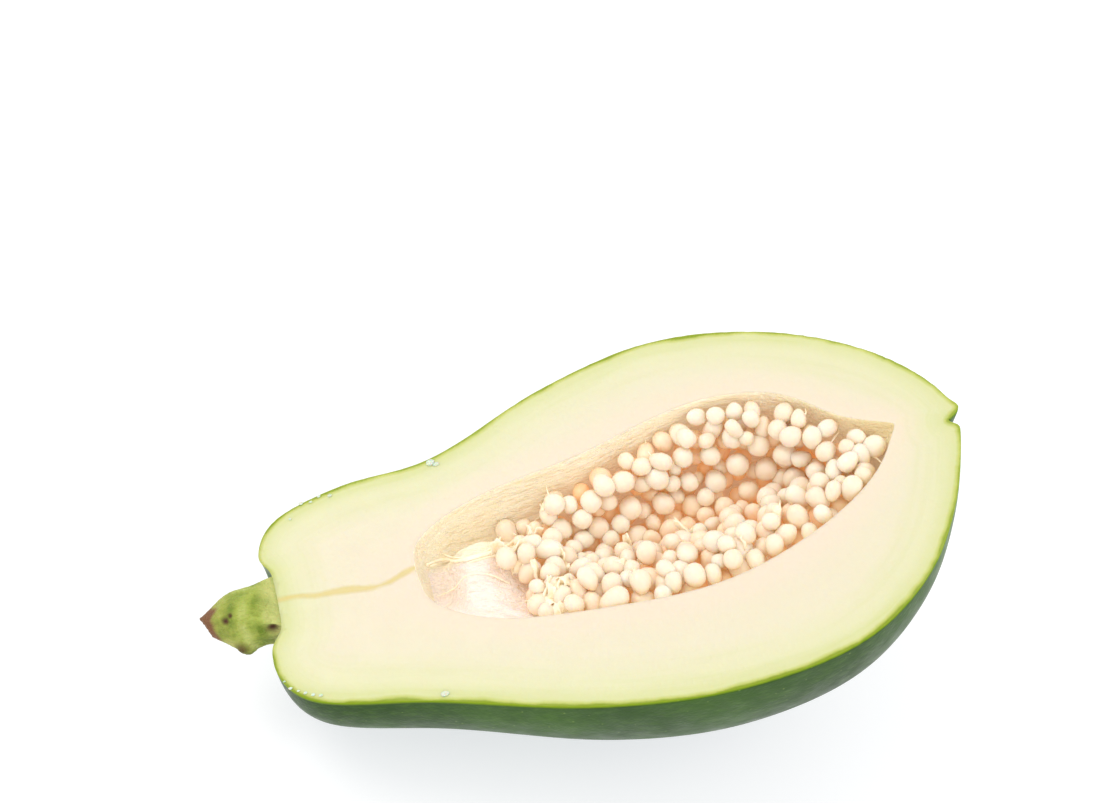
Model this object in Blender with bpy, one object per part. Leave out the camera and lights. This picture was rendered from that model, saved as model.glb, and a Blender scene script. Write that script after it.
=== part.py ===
"""Half of a green papaya, cut lengthwise, with its stalk and the seeds that fill its hollow.

Units are metres. The fruit is modelled with its cut face in the plane z = 0, its stalk towards -X and its
back below. An empty then tips it into the pose in which it lies still, on a small flat spot at the origin.
"""
import math
import random

import bmesh
import bpy
import numpy as np
from mathutils import Matrix, Quaternion, Vector
from mathutils.bvhtree import BVHTree

# Fruit
FRUIT_LENGTH = 0.203
NECK_WIDTH = 0.076
BELLY_WIDTH = 0.1167
HALF_DEPTH = 0.0655  # half the height that a whole fruit would have at its belly
AXIS_DROP = 0.010  # how far the fruit's axis lies below the cut at the stalk end; none at the blossom end
END_FLATTENING = 0.20  # share of the depth that both ends lose
LOBE_HEIGHT = 0.0004  # of the five faint lengthwise lobes
FLAT_SINK = 0.0005  # how much of the back the flat spot takes off

# Flesh round the hollow, measured on the cut face
NECK_FLESH = 0.0442
TIP_FLESH = 0.018
FAR_FLESH = 0.0243
NEAR_FLESH = 0.033
HOLLOW_DEPTH = 0.034

# Stalk, on a flat seat in the stalk end
STALK_DIAMETER = 0.0175
STALK_TIP_DIAMETER = 0.0105
STALK_LENGTH = 0.0215
STALK_AXIS_DEPTH = 0.0050  # below the cut
STALK_AXIS_SIDE = 0.0030  # to the far side
STALK_RISE = math.radians(3)
STALK_END_SLANT = math.radians(14)
STALK_NUB_HEIGHT = 0.0032
STALK_NUB_ANGLE = math.radians(196)  # round the stalk: 90 is up, 180 the near side
STALK_NUB_PLACE = 0.62  # share of the stalk's length
STALK_NUB_TURN = 0.32  # half of the nub's width round the stalk, in radians
STALK_NUB_SHARE = 0.13  # half of its width along the stalk, as a share of the length
SEAT_DEPTH = 0.0045
SEAT_MARGIN = 0.0018  # how far the flat of the seat reaches past the stalk
SEAT_SLOPE = 0.004

# Seeds: loose ones on top of beds of seeds that cling together
SEED_COUNT = 54
SEED_LENGTH = 0.0078
SEED_WIDTH = 0.0066
SEED_SIZE_SPREAD = 0.08
SEED_ROW_PITCH = 0.0098
SEED_LEAN = math.radians(25)
SEED_BED_THICKNESS = 0.0064
SEED_BED_GAP = 0.0006  # from the wall, which has flat facets
SEED_TOP_GAP = 0.0006  # from the highest seed up to the cut
SEED_BEDS = {"far": (14, 58), "floor": (65, 113), "near": (120, 166)}  # degrees round the hollow's wall
SEED_BED_REACH = (0.30, 0.93)  # shares of the way along the hollow's wall
SEED_COLUMNS = (20, 40, 60, 118, 138, 156)  # degrees round the hollow's wall
SEED_STAGGER = 8  # degrees that every other row is turned

PIECE_GAP = 0.0004  # between pieces that touch
MERGE_DISTANCE = 1e-5
RANDOM_SEED = 7

# How finely the surfaces are divided
STATIONS = 48  # along the fruit and the hollow
BACK_COLUMNS = 28
HOLLOW_COLUMNS = 16
FACE_RINGS = 5
STALK_COLUMNS = 20
STALK_RINGS = 9
SEED_BED_COLUMNS = 26
SEED_BED_ROWS = 6
SETTLING_STEPS = 300
SETTLING_PULL = 0.1  # share of its distance that a seed sinks towards its bed at each step
CURVE_SAMPLES = 600
END_CROWDING = 0.06  # how much closer the stations stand towards both ends

# The cut outline, from the stalk end to the blossom end. Each point is its place along the fruit and its
# distance from the middle line, as shares of the length and of the width of the neck or of the belly.
FAR_NECK = ((0.007, 0.0), (0.006, 0.140), (0.007, 0.263), (0.032, 0.375), (0.140, 0.458), (0.268, 0.463))
FAR_BELLY = ((0.451, 0.418), (0.623, 0.466), (0.796, 0.392), (0.914, 0.260), (0.978, 0.124), (1.0, 0.026))
NEAR_NECK = ((0.007, 0.0), (0.003, -0.132), (0.003, -0.263), (0.037, -0.395), (0.204, -0.542))
NEAR_BELLY = ((0.416, -0.483), (0.599, -0.534), (0.776, -0.499), (0.884, -0.379), (0.948, -0.223),
              (0.985, -0.069), (1.0, 0.026))
FAR_BELLY_SHARE = 0.466
NEAR_BELLY_SHARE = 0.534

# The hollow's outline in the same order, as shares of its length and of its reach to that side. Both sides
# start on the middle line and end in the hollow's tip.
FAR_HOLLOW = ((0.008, 0.250), (0.050, 0.427), (0.164, 0.627), (0.370, 0.760), (0.633, 1.0), (0.790, 0.843),
              (0.904, 0.383))
NEAR_HOLLOW = ((0.012, -0.300), (0.055, -0.520), (0.142, -0.745), (0.370, -0.952), (0.584, -1.0),
               (0.797, -0.710), (0.932, -0.297))
HOLLOW_TIP_SIDE = 0.0045  # how far the tip lies to the far side of the middle line


def clear_scene():
    for thing in list(bpy.data.objects):
        bpy.data.objects.remove(thing)


def make_material(name, colour, roughness):
    material = bpy.data.materials.new(name)
    material.use_nodes = True
    shader = material.node_tree.nodes["Principled BSDF"]
    shader.inputs["Base Color"].default_value = (*colour, 1.0)
    shader.inputs["Roughness"].default_value = roughness
    shader.inputs["Metallic"].default_value = 0.0
    return material


def make_object(name, bm, materials, parent):
    """A smooth-shaded object from a bmesh whose sheets are sewn together first."""
    bmesh.ops.remove_doubles(bm, verts=bm.verts, dist=MERGE_DISTANCE)
    bmesh.ops.recalc_face_normals(bm, faces=bm.faces)
    mesh = bpy.data.meshes.new(name)
    bm.to_mesh(mesh)
    bm.free()
    mesh.shade_smooth()
    mesh.set_sharp_from_angle(angle=math.radians(40))
    for material in materials:
        mesh.materials.append(material)
    thing = bpy.data.objects.new(name, mesh)
    bpy.context.scene.collection.objects.link(thing)
    thing.parent = parent
    return thing


def sheet(bm, columns, rows, place, finish=0):
    """A grid of columns by rows faces, each vertex moved to place(u, v), with u and v from 0 to 1."""
    grid = bmesh.ops.create_grid(bm, x_segments=columns, y_segments=rows, size=1.0)
    for vert in grid["verts"]:
        vert.co = place(0.5 + 0.5 * vert.co.x, 0.5 + 0.5 * vert.co.y)
        for face in vert.link_faces:
            face.material_index = finish


def block(bm, columns, rows, place):
    """A closed block of six sheets, filled by place(u, v, w) with u, v and w from 0 to 1."""
    for end in (0.0, 1.0):
        sheet(bm, columns, rows, lambda u, v, w=end: place(u, v, w))
        sheet(bm, columns, 1, lambda u, w, v=end: place(u, v, w))
        sheet(bm, rows, 1, lambda v, w, u=end: place(u, v, w))


def crowded(share):
    """An evenly spaced share moved towards the nearer end, where the fruit curves most."""
    return share - END_CROWDING * math.sin(2.0 * math.pi * share)


def smoothstep(low, high, value):
    share = min(max((value - low) / (high - low), 0.0), 1.0)
    return share * share * (3.0 - 2.0 * share)


class SmoothCurve:
    """A centripetal Catmull-Rom curve through its points, read by the share of its length."""

    def __init__(self, points):
        inner = [Vector(point) for point in points]
        before = 2 * inner[0] - inner[1]
        after = 2 * inner[-1] - inner[-2]
        self.points = [before, *inner, after]
        self.knots = [0.0]
        for first, second in zip(self.points, self.points[1:]):
            self.knots.append(self.knots[-1] + math.sqrt((second - first).length))
        self.samples = [self.at_knot(share / CURVE_SAMPLES) for share in range(CURVE_SAMPLES + 1)]
        steps = [(b - a).length for a, b in zip(self.samples, self.samples[1:])]
        self.lengths = np.concatenate([[0.0], np.cumsum(steps)])

    def at_knot(self, share):
        knots = self.knots
        value = knots[1] + (knots[-2] - knots[1]) * share
        i = 1
        while i < len(self.points) - 3 and value > knots[i + 1]:
            i += 1
        level = self.points[i - 1:i + 3]
        times = knots[i - 1:i + 3]
        for reach in (1, 2):
            level = [self.blend(level[j], level[j + 1], times[j], times[j + reach], value)
                     for j in range(len(level) - 1)]
        return self.blend(level[0], level[1], times[1], times[2], value)

    @staticmethod
    def blend(first, second, start, end, value):
        return first.lerp(second, (value - start) / (end - start))

    def at(self, share):
        place = np.interp(share * self.lengths[-1], self.lengths, np.arange(CURVE_SAMPLES + 1))
        low = min(int(place), CURVE_SAMPLES - 1)
        return self.samples[low].lerp(self.samples[low + 1], place - low)


def fruit_side(neck, belly):
    """One side of the cut outline, from shares to metres."""
    points = [((along - 0.5) * FRUIT_LENGTH, across * NECK_WIDTH, 0.0) for along, across in neck]
    points += [((along - 0.5) * FRUIT_LENGTH, across * BELLY_WIDTH, 0.0) for along, across in belly]
    return SmoothCurve(points)


def hollow_side(outline, reach):
    """One side of the hollow's outline, from shares to metres."""
    start = NECK_FLESH - 0.5 * FRUIT_LENGTH
    end = 0.5 * FRUIT_LENGTH - TIP_FLESH
    points = [(start + along * (end - start), across * reach, 0.0) for along, across in outline]
    return SmoothCurve([(start, 0.0, 0.0), *points, (end, HOLLOW_TIP_SIDE, 0.0)])


FAR_RIM = fruit_side(FAR_NECK, FAR_BELLY)
NEAR_RIM = fruit_side(NEAR_NECK, NEAR_BELLY)
FAR_EDGE = hollow_side(FAR_HOLLOW, FAR_BELLY_SHARE * BELLY_WIDTH - FAR_FLESH)
NEAR_EDGE = hollow_side(NEAR_HOLLOW, NEAR_BELLY_SHARE * BELLY_WIDTH - NEAR_FLESH)
HOLLOW_HALF_WIDTH = 0.5 * (BELLY_WIDTH - FAR_FLESH - NEAR_FLESH)
SEAT_X = SEAT_DEPTH - 0.5 * FRUIT_LENGTH


def seated(point):
    """Presses the flat seat of the stalk into the stalk end."""
    if point.x > 0.0:
        return point
    distance = math.hypot(point.y - STALK_AXIS_SIDE, point.z + STALK_AXIS_DEPTH)
    flat = 0.5 * STALK_DIAMETER + SEAT_MARGIN
    point.x = SEAT_X + (point.x - SEAT_X) * smoothstep(flat, flat + SEAT_SLOPE, distance)
    return point


def back(along, round_share):
    """A point of the fruit's skin: round_share runs from the far rim (0) under the fruit to the near rim (1)."""
    far, near = FAR_RIM.at(along), NEAR_RIM.at(along)
    middle, half = 0.5 * (far + near), 0.5 * (far - near)
    width = half.length
    if width < MERGE_DISTANCE:
        return seated(middle)
    drop = AXIS_DROP * (1.0 - along) * width / (width + AXIS_DROP)
    radius = math.hypot(width, drop)
    lean = math.atan2(drop, width)
    angle = -lean + (math.pi + 2.0 * lean) * round_share
    lobes = LOBE_HEIGHT * math.cos(5.0 * (angle - 0.5 * math.pi)) * math.sin(math.pi * round_share)
    lobes *= smoothstep(0.0, 0.3 * BELLY_WIDTH, width)
    place = 2.0 * middle.x / FRUIT_LENGTH
    deep = HALF_DEPTH / (0.5 * BELLY_WIDTH) * (1.0 - END_FLATTENING * place * place)
    point = middle + half * (math.cos(angle) * (radius + lobes) / width)
    point.z = -(drop + math.sin(angle) * (radius + lobes)) * deep
    return seated(point)


def half_width(along):
    """Half of the hollow's width on the cut face."""
    return 0.5 * (FAR_EDGE.at(along) - NEAR_EDGE.at(along)).length


def hollow(along, round_share):
    """A point of the hollow's wall, with round_share as for the back."""
    far, near = FAR_EDGE.at(along), NEAR_EDGE.at(along)
    middle, half = 0.5 * (far + near), 0.5 * (far - near)
    width = half.length
    angle = math.pi * round_share
    point = middle + half * math.cos(angle)
    point.z = -math.sin(angle) * HOLLOW_DEPTH * (width / HOLLOW_HALF_WIDTH) ** 0.85
    return point


def cut_face(round_share, outward):
    """A point between the hollow's edge (outward 0) and the rim (1), going round both sides."""
    near_side = 1.0 if round_share > 0.5 else 0.0
    along = crowded(1.0 - abs(2.0 * round_share - 1.0))
    return hollow(along, near_side).lerp(back(along, near_side), outward)


def inward_normal(along, round_share):
    """The direction from the hollow's wall into the hollow."""
    step = 0.01
    lengthwise = hollow(along + step, round_share) - hollow(along - step, round_share)
    around = hollow(along, round_share + step) - hollow(along, round_share - step)
    return around.cross(lengthwise).normalized()


def make_fruit(parent):
    bm = bmesh.new()
    sheet(bm, STATIONS, BACK_COLUMNS, lambda u, v: back(crowded(u), v), finish=1)
    sheet(bm, STATIONS, HOLLOW_COLUMNS, lambda u, v: hollow(crowded(u), v))
    sheet(bm, 2 * STATIONS, FACE_RINGS, cut_face)
    flesh = make_material("flesh", (0.86, 0.84, 0.62), 0.45)
    skin = make_material("skin", (0.09, 0.20, 0.04), 0.35)
    return make_object("fruit_half", bm, (flesh, skin), parent)


def stalk_point(round_share, along):
    """A point of the stalk's side, with the knob of an old side stem and a narrower, slanting end."""
    angle = 2.0 * math.pi * round_share
    taper = smoothstep(0.45, 1.0, along)
    radius = 0.5 * (STALK_DIAMETER + (STALK_TIP_DIAMETER - STALK_DIAMETER) * taper)
    turned = math.remainder(angle - STALK_NUB_ANGLE, 2.0 * math.pi)
    radius += STALK_NUB_HEIGHT * math.exp(
        -(turned / STALK_NUB_TURN) ** 2 - ((along - STALK_NUB_PLACE) / STALK_NUB_SHARE) ** 2)
    across = radius * math.cos(angle)
    upward = radius * math.sin(angle)
    slant = math.tan(STALK_END_SLANT) * across * along
    reach = STALK_LENGTH * along + slant
    return Vector((-reach, across, upward + math.tan(STALK_RISE) * STALK_LENGTH * along * along))


def make_stalk(parent):
    """A short tube of rings, capped at both ends, standing on the seat with a small gap."""
    bm = bmesh.new()
    sheet(bm, STALK_COLUMNS, STALK_RINGS, stalk_point)
    bmesh.ops.remove_doubles(bm, verts=bm.verts, dist=MERGE_DISTANCE)
    rims = [edge for edge in bm.edges if edge.is_boundary]
    bmesh.ops.holes_fill(bm, edges=rims, sides=STALK_COLUMNS)
    bark = make_material("stalk", (0.42, 0.50, 0.13), 0.55)
    stalk = make_object("stalk", bm, (bark,), parent)
    stalk.location = (SEAT_X - PIECE_GAP, STALK_AXIS_SIDE, -STALK_AXIS_DEPTH)
    return stalk


def make_seed_bed(name, start_angle, end_angle, parent):
    """A layer of clinging seeds along the hollow's wall, thinner at its ends and where the hollow narrows."""

    def place(u, v, w):
        along = SEED_BED_REACH[0] + (SEED_BED_REACH[1] - SEED_BED_REACH[0]) * u
        round_share = (start_angle + (end_angle - start_angle) * v) / 180.0
        thickness = min(SEED_BED_THICKNESS, 0.4 * half_width(along))
        thickness *= 0.3 + 0.7 * math.sqrt(math.sin(math.pi * (0.06 + 0.88 * u)))
        thickness *= 0.6 + 0.4 * math.sin(math.pi * v)
        lift = SEED_BED_GAP + w * thickness
        return hollow(along, round_share) + lift * inward_normal(along, round_share)

    bm = bmesh.new()
    block(bm, SEED_BED_COLUMNS, SEED_BED_ROWS, place)
    pulp = make_material(name, (0.90, 0.80, 0.60), 0.4)
    return make_object(name, bm, (pulp,), parent)


def seed_starts():
    """Places in rows across the hollow, from the blossom end, before the seeds are pushed clear."""
    depth = SEED_BED_GAP + SEED_BED_THICKNESS + PIECE_GAP + 0.5 * SEED_LENGTH
    pitch = SEED_ROW_PITCH / FAR_EDGE.lengths[-1]
    along = SEED_BED_REACH[1]
    while half_width(along) < depth + SEED_LENGTH:
        along -= 0.1 * pitch
    starts = []
    for row in range(math.ceil(SEED_COUNT / len(SEED_COLUMNS))):
        stagger = SEED_STAGGER if row % 2 else 0.0
        for column in SEED_COLUMNS:
            round_share = (column + stagger) / 180.0
            starts.append(hollow(along, round_share) + depth * inward_normal(along, round_share))
        along -= pitch
    return starts[:SEED_COUNT]


def settled_seeds(walls, chance):
    """Centres, sizes and ways up of seeds that touch neither each other, nor the walls, nor the cut plane."""
    centres = np.array(seed_starts())
    sizes = np.array([1.0 + chance.uniform(-SEED_SIZE_SPREAD, SEED_SIZE_SPREAD) for _ in centres])
    radii = 0.5 * SEED_LENGTH * sizes
    reach = radii[:, None] + radii[None, :] + PIECE_GAP
    upward = [Vector() for _ in centres]
    for step in range(SETTLING_STEPS):
        apart = centres[:, None, :] - centres[None, :, :]
        distance = np.linalg.norm(apart, axis=2)
        np.fill_diagonal(distance, 1.0)
        overlap = np.clip(reach - distance, 0.0, None)
        centres += (apart * (0.5 * overlap / distance)[:, :, None]).sum(axis=1)
        for index, centre in enumerate(centres):
            location, normal, _, gap = walls.find_nearest(Vector(centre))
            away = (Vector(centre) - location).normalized()
            if away.dot(normal) < 0.0:
                away.negate()
                gap = -gap
            needed = radii[index] + PIECE_GAP
            pull = SETTLING_PULL if step < 0.8 * SETTLING_STEPS else 0.0
            move = needed - gap if gap < needed else pull * (needed - gap)
            centres[index] += np.array(away * move)
            upward[index] = away
        centres[:, 2] = np.minimum(centres[:, 2], -radii - SEED_TOP_GAP)
    return centres, sizes, upward


def wall_tree(pieces):
    """One search tree over the faces of several pieces that are not yet tipped."""
    verts = []
    faces = []
    for piece in pieces:
        first = len(verts)
        verts += [vert.co.copy() for vert in piece.data.vertices]
        faces += [[first + index for index in face.vertices] for face in piece.data.polygons]
    return BVHTree.FromPolygons(verts, faces)


def make_seeds(walls, parent):
    """Loose seeds: stretched balls that stand on the wall by one end, each leaning its own way."""
    chance = random.Random(RANDOM_SEED)
    centres, sizes, upward = settled_seeds(walls, chance)
    bm = bmesh.new()
    bmesh.ops.create_icosphere(bm, subdivisions=2, radius=0.5)
    bmesh.ops.scale(bm, vec=(SEED_LENGTH, SEED_WIDTH, SEED_WIDTH), verts=bm.verts)
    mesh = bpy.data.meshes.new("seed")
    bm.to_mesh(mesh)
    bm.free()
    mesh.shade_smooth()
    mesh.materials.append(make_material("seed", (0.93, 0.83, 0.68), 0.3))
    seeds = []
    for number, (centre, size, away) in enumerate(zip(centres, sizes, upward), start=1):
        sideways = Vector((chance.gauss(0.0, 1.0), chance.gauss(0.0, 1.0), chance.gauss(0.0, 1.0)))
        lean = Quaternion(sideways.normalized(), chance.uniform(0.0, SEED_LEAN))
        seed = bpy.data.objects.new(f"seed_{number:02d}", mesh)
        bpy.context.scene.collection.objects.link(seed)
        seed.parent = parent
        seed.location = centre
        seed.rotation_mode = "QUATERNION"
        seed.rotation_quaternion = lean @ away.to_track_quat("X", "Z")
        seed.scale = (size, size, size)
        seeds.append(seed)
    return seeds


def mass_centre(pieces):
    """Volume and centre of all pieces together, before they are tipped."""
    volume = 0.0
    moment = Vector()
    for piece in pieces:
        piece.data.calc_loop_triangles()
        matrix = piece.matrix_basis
        for triangle in piece.data.loop_triangles:
            a, b, c = (matrix @ piece.data.vertices[index].co for index in triangle.vertices)
            part = a.dot(b.cross(c)) / 6.0
            volume += part
            moment += part * (a + b + c) / 4.0
    return moment / volume


def lying_direction(points, centre):
    """The way down, in the fruit's own axes, for which its weight hangs as low as it can."""
    pitch, roll = 0.0, 0.0
    step = math.radians(8)

    def down(angles):
        return Matrix.Rotation(angles[0], 3, "Y") @ Matrix.Rotation(angles[1], 3, "X") @ Vector((0, 0, -1))

    def height(angles):
        return float((points @ np.array(down(angles))).max()) - centre.dot(down(angles))

    best = height((pitch, roll))
    while step > math.radians(0.01):
        tries = [(pitch + step, roll), (pitch - step, roll), (pitch, roll + step), (pitch, roll - step)]
        lowest = min(tries, key=height)
        if height(lowest) < best:
            best = height(lowest)
            pitch, roll = lowest
        else:
            step *= 0.5
    return down((pitch, roll))


def lay_down(fruit, pieces, pose):
    """Takes a flat spot off the back below the weight, and tips the whole so that it rests there."""
    points = np.array([vert.co for vert in fruit.data.vertices])
    centre = mass_centre(pieces)
    down = lying_direction(points, centre)
    level = float((points @ np.array(down)).max()) - FLAT_SINK
    for vert in fruit.data.vertices:
        below = vert.co.dot(down) - level
        if below > 0.0:
            vert.co -= below * down
    spot = centre + (level - centre.dot(down)) * down
    turn = down.rotation_difference(Vector((0.0, 0.0, -1.0)))
    pose.rotation_mode = "QUATERNION"
    pose.rotation_quaternion = turn
    pose.location = -(turn @ spot)


def main():
    clear_scene()
    pose = bpy.data.objects.new("lying_pose", None)
    bpy.context.scene.collection.objects.link(pose)
    fruit = make_fruit(pose)
    stalk = make_stalk(pose)
    beds = [make_seed_bed(f"seed_bed_{name}", *angles, pose) for name, angles in SEED_BEDS.items()]
    seeds = make_seeds(wall_tree([fruit, *beds]), pose)
    lay_down(fruit, [fruit, stalk, *beds, *seeds], pose)
    bpy.context.view_layer.update()


main()
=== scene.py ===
# %% [markdown]
# # Half a green papaya, with its stalk and its seeds
# This script dresses a finished model of half a papaya, cut lengthwise. The model gives the sizes and the
# places. The cells below turn it into something that looks grown and freshly cut: a taut green skin, pale
# moist flesh that turns green towards the rim, a hollow lined with fibres, and a heap of wet seeds.

# %% Open the model
import math
import random

import bmesh
import bpy
import numpy as np
from mathutils import Euler, Matrix, Quaternion, Vector, noise
from mathutils.bvhtree import BVHTree


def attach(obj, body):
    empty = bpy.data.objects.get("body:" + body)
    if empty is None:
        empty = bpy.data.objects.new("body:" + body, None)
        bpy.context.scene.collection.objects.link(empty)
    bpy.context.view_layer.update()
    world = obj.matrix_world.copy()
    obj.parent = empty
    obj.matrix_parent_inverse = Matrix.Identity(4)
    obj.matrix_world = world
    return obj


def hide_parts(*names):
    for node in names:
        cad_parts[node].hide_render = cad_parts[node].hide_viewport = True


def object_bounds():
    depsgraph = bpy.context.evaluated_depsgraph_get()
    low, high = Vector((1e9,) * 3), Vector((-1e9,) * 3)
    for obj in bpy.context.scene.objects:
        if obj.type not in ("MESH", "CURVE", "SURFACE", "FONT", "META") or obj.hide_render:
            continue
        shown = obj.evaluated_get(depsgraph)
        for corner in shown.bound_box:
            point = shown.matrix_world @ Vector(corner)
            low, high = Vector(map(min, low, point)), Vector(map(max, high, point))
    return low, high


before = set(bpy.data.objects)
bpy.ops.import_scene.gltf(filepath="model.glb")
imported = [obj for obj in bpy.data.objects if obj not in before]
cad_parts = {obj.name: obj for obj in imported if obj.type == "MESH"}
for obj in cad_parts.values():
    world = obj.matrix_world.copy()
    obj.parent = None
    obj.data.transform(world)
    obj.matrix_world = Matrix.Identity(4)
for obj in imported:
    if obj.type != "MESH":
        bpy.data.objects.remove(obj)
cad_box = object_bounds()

MM = 0.001
chance = random.Random(11)
print("model box", cad_box)

# %% Helpers for meshes and objects
def as_mesh(name, bm):
    """A bmesh written to a new mesh, and freed."""
    mesh = bpy.data.meshes.new(name)
    bm.to_mesh(mesh)
    bm.free()
    return mesh


def placed(name, data):
    """A new object with its data, put in the scene."""
    made = bpy.data.objects.new(name, data)
    bpy.context.scene.collection.objects.link(made)
    return made


def clamped(value):
    """The value, held between 0 and 1."""
    return min(1.0, max(0.0, value))


def smooth_share(value, low, high):
    """0 below low, 1 above high and smooth between; low may be the greater."""
    share = clamped((value - low) / (high - low))
    return share * share * (3 - 2 * share)


def bump_at(value, centre, width):
    """A smooth bump, 1 at its centre, which fades over about its width."""
    return math.exp(-((value - centre) / width) ** 2)

# %% [markdown]
# ## The cut face as a drawing board
# The half lies tipped on its back, so its cut face is neither level nor square to the axes. Everything on a
# cut fruit is easiest to think of on that face: how far from the stalk, how far to a side, how deep. So
# this cell finds the face in the model, as the largest flat part, and makes a matrix from face coordinates
# (X from stalk to blossom end, Y to the far side, Z out of the cut) to the model's. Finished pieces are
# moved by that matrix in mesh code, so their objects stay at the origin.

# %% Find the cut face
def merged_copy(node):
    """A CAD node's loose triangles, sewn together in a bmesh of their own."""
    bm = bmesh.new()
    bm.from_mesh(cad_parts[node].data)
    bmesh.ops.remove_doubles(bm, verts=bm.verts, dist=0.01 * MM)
    return bm


def largest_flat_normal(bm):
    """The normal of the mesh's largest flat part, as a mean over its faces."""
    areas = {}
    for face in bm.faces:
        key = tuple(round(part, 3) for part in face.normal)
        areas[key] = areas.get(key, 0.0) + face.calc_area()
    guess = Vector(max(areas, key=areas.get)).normalized()
    alike = [face for face in bm.faces if face.normal.dot(guess) > 0.9999]
    return sum((face.normal * face.calc_area() for face in alike), Vector()).normalized()


HALF_LENGTH = 101.5 * MM  # from the middle of the fruit to its blossom tip
TIP_SIDE = 3.0 * MM  # the blossom tip's place to the far side of the middle line
ON_FACE = 0.05 * MM  # what is nearer to the cut than this lies on it

fruit = merged_copy("fruit_half")
turn = Vector((0, 0, 1)).rotation_difference(largest_flat_normal(fruit)).to_matrix()
untipped = [turn.transposed() @ vert.co for vert in fruit.verts]
level = max(point.z for point in untipped)
tip = max((point for point in untipped if point.z > level - ON_FACE), key=lambda point: point.x)
face_origin = Vector((tip.x - HALF_LENGTH, tip.y - TIP_SIDE, level))
from_face = turn.to_4x4() @ Matrix.Translation(face_origin)
to_face = from_face.inverted()
print("cut face tipped by", round(math.degrees(turn.col[2].angle(Vector((0, 0, 1)))), 1), "degrees")

# %% [markdown]
# ## Camera, floor and light
# The fruit is seen from its near side, from well above the cut, on a white table under broad soft lamps.
# They come first, because each later step is judged in this picture. The camera's place is given on the
# drawing board as well, so it keeps its view of the cut face however the half lies.

# %% Camera
CAMERA_AIM = Vector((-9.3, 43.8, 0.0)) * MM
CAMERA_DISTANCE = 700 * MM
CAMERA_HEIGHT = math.radians(55)  # above the cut face
CAMERA_TILT = math.radians(-15.6)
camera_data = bpy.data.cameras.new("camera")
camera_data.sensor_width = 36.0
camera_data.lens = 79.45
camera = placed("camera", camera_data)
backward = Vector((0.0, -math.cos(CAMERA_HEIGHT), math.sin(CAMERA_HEIGHT)))
pose = Euler((math.pi / 2 - CAMERA_HEIGHT, 0.0, 0.0)).to_matrix() @ Matrix.Rotation(CAMERA_TILT, 3, "Z")
camera.matrix_world = from_face @ Matrix.Translation(CAMERA_AIM + CAMERA_DISTANCE * backward) @ pose.to_4x4()
bpy.context.scene.camera = camera

# %% [markdown]
# Every material below is built with the same few helpers: one adds a node and sets or links its inputs, and
# the others are the short cuts for a noise, a colour ramp, a mix or a sum. They keep each material readable
# as a list of the things that are seen on the real surface.

# %% Helpers for shader nodes
def add_node(tree, kind, inputs=None, **settings):
    """A node with its settings, and its inputs set to values or linked to sockets."""
    made = tree.nodes.new(kind)
    for name, value in settings.items():
        setattr(made, name, value)
    for name, value in (inputs or {}).items():
        if isinstance(value, bpy.types.NodeSocket):
            tree.links.new(value, made.inputs[name])
        else:
            made.inputs[name].default_value = value
    return made


def tone(red, green, blue):
    """A screen colour, 0 to 255, as the linear colour that shaders work in."""
    linear = [((part / 255 + 0.055) / 1.055) ** 2.4 if part > 10 else part / 3300
              for part in (red, green, blue)]
    return (*linear, 1.0)


def new_material(name, **surface):
    """A material with a Principled shader whose constant values are set on its own sockets."""
    material = bpy.data.materials.new(name)
    material.use_nodes = True
    shader = material.node_tree.nodes["Principled BSDF"]
    for socket, value in surface.items():
        shader.inputs[socket.replace("_", " ")].default_value = value
    return material, material.node_tree, shader


def colour_steps(tree, factor, steps):
    """A colour ramp read at factor, from (place, colour) pairs."""
    ramp = add_node(tree, "ShaderNodeValToRGB", {"Fac": factor})
    elements = ramp.color_ramp.elements
    for _ in range(len(steps) - 2):
        elements.new(0.5)
    for element, (place, colour) in zip(elements, steps):
        element.position = place
    for element, (place, colour) in zip(elements, steps):
        element.color = colour
    return ramp.outputs["Color"]


def between(tree, value, low, high, to_low=0.0, to_high=1.0):
    """The value's place between low and high, held within the new range."""
    stretched = add_node(tree, "ShaderNodeMapRange", {
        "Value": value, "From Min": low, "From Max": high, "To Min": to_low, "To Max": to_high})
    return stretched.outputs["Result"]


def mixed(tree, factor, first, second):
    """Two colours mixed by factor; the Mix node keeps its colour sockets at 6, 7 and 2."""
    return add_node(tree, "ShaderNodeMix", {0: factor, 6: first, 7: second}, data_type="RGBA").outputs[2]


def calculated(tree, operation, first, second=0.0):
    """Two values put through one Math node."""
    return add_node(tree, "ShaderNodeMath", {0: first, 1: second}, operation=operation).outputs[0]


def cloudy(tree, place, scale, detail):
    """A noise of soft patches, around 0.5."""
    inputs = {"Vector": place, "Scale": scale, "Detail": detail}
    return add_node(tree, "ShaderNodeTexNoise", inputs).outputs["Fac"]


def axes_of(tree, vector):
    """The X, Y and Z of a vector, as sockets."""
    return add_node(tree, "ShaderNodeSeparateXYZ", {"Vector": vector}).outputs


def feed(tree, shader, **values):
    """Links values to the shader's sockets, which are named with _ for a space."""
    for socket, value in values.items():
        tree.links.new(value, shader.inputs[socket.replace("_", " ")])

# %% Floor and backdrop
FLOOR_REACH = 12.0  # metres, so that no edge shows from any side


def make_floor():
    """A wide table top that glows a little, so it is white and its shadows stay pale."""
    bm = bmesh.new()
    bmesh.ops.create_grid(bm, x_segments=2, y_segments=2, size=FLOOR_REACH)
    floor = placed("floor", as_mesh("floor", bm))
    lit_table = new_material(
        "lit_table", Base_Color=(0.45, 0.44, 0.41, 1.0), Roughness=0.6, Specular_IOR_Level=0.2,
        Emission_Color=(0.92, 0.94, 1.0, 1.0), Emission_Strength=0.68)[0]
    floor.data.materials.append(lit_table)


make_floor()

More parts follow.
